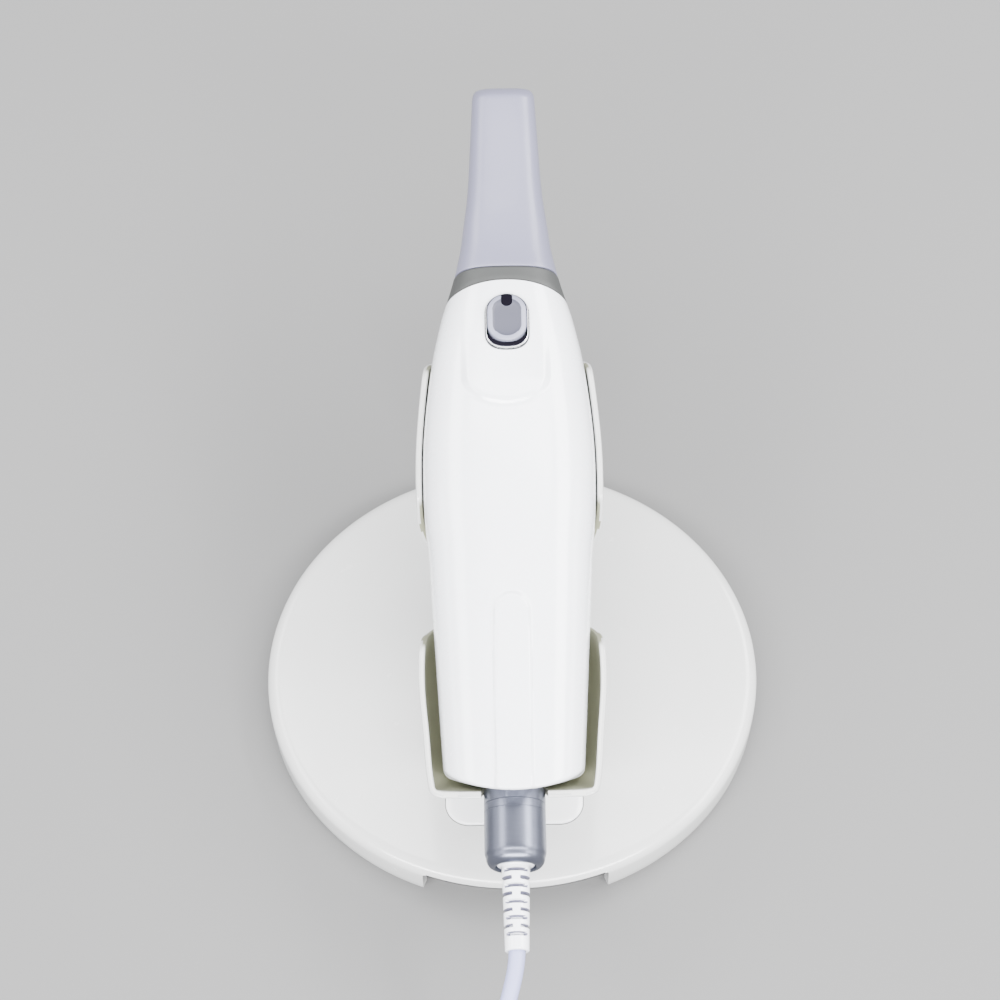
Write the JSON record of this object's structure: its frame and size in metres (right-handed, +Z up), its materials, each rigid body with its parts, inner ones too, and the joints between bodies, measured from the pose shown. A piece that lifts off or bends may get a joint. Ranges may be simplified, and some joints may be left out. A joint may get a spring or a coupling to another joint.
{
  "type": "intraoral scanner",
  "caption": "Hand-held dental scanner with a removable tip, a scan button and a push-pull cable, lying in a cradle on a round desk stand.",
  "frame": {"origin": "on the table, at the bottom centre of the stand and scanner's box, the cable left out", "axes": "+Y towards the scanner's tip, +X to its right seen from the cable end, +Z up"},
  "size_m": [0.138, 0.3635, 0.0875],
  "materials": {
    "housing_white": "satin white",
    "stand_white": "glossy warm white",
    "collar_grey": "matte grey",
    "sleeve_grey": "satin lavender grey",
    "connector_metal": "satin",
    "bezel_chrome": "polished",
    "button_grey": "satin",
    "window_dark": "gloss",
    "cable_sheath": "satin",
    "rubber_dark": "matte",
    "steel": "plain",
    "aluminium": "machined",
    "board_green": "solder mask",
    "clear_resin": "clear dome",
    "optical_glass": "coated",
    "mirror": "front-silvered"
  },
  "bodies": {
    "stand": {"base_cover": "stand_white", "base_plate": "steel", "foot_1": "rubber_dark", "foot_2": "rubber_dark", "foot_3": "rubber_dark", "foot_4": "rubber_dark", "base_screw_1": "steel", "base_screw_2": "steel", "base_screw_3": "steel", "base_screw_4": "steel", "pedestal_screw_1": "steel", "pedestal_screw_2": "steel", "badge": "clear_resin", "pedestal": "stand_white", "cradle": "stand_white", "cable": "cable_sheath", "cable_coil": "cable_sheath", "coil_tie": "rubber_dark", "cable_end": "cable_sheath", "usb_plug_body": "housing_white", "usb_plug_shell": "steel"},
    "scanner": {"housing_top": "housing_white", "housing_bottom": "housing_white", "housing_screw_1": "steel", "housing_screw_2": "steel", "housing_screw_3": "steel", "housing_screw_4": "steel", "collar": "collar_grey", "nose_tube": "aluminium", "nose_window": "optical_glass", "optics_block": "aluminium", "camera_lens": "aluminium", "projector_lens": "aluminium", "main_board": "board_green", "heat_spreader": "aluminium", "button_bezel": "bezel_chrome", "button_switch": "rubber_dark", "button_board": "board_green", "cable_socket": "connector_metal", "plug_core": "connector_metal", "strain_relief": "housing_white"},
    "tip": {"tip_sleeve": "sleeve_grey", "tip_mirror": "mirror"},
    "button": {"button_cap": "button_grey", "status_window": "window_dark"},
    "coupling": {"coupling_sleeve": "connector_metal"}
  },
  "joints": [
    {"name": "scanner_lift", "type": "slide", "parent": "stand", "child": "scanner", "axis": [0, -0.2079, 0.9781], "range_m": [0, 0.06]},
    {"name": "tip_pull", "type": "slide", "parent": "scanner", "child": "tip", "axis": [0, 0.9781, 0.2079], "range_m": [0, 0.06]},
    {"name": "button_press", "type": "slide", "parent": "scanner", "child": "button", "axis": [0, 0.0785, -0.9969], "range_m": [0, 0.0008], "stiffness_N_per_m": 600},
    {"name": "coupling_unlatch", "type": "slide", "parent": "scanner", "child": "coupling", "axis": [0, -0.9781, -0.2079], "range_m": [0, 0.0015], "stiffness_N_per_m": 800}
  ]
}
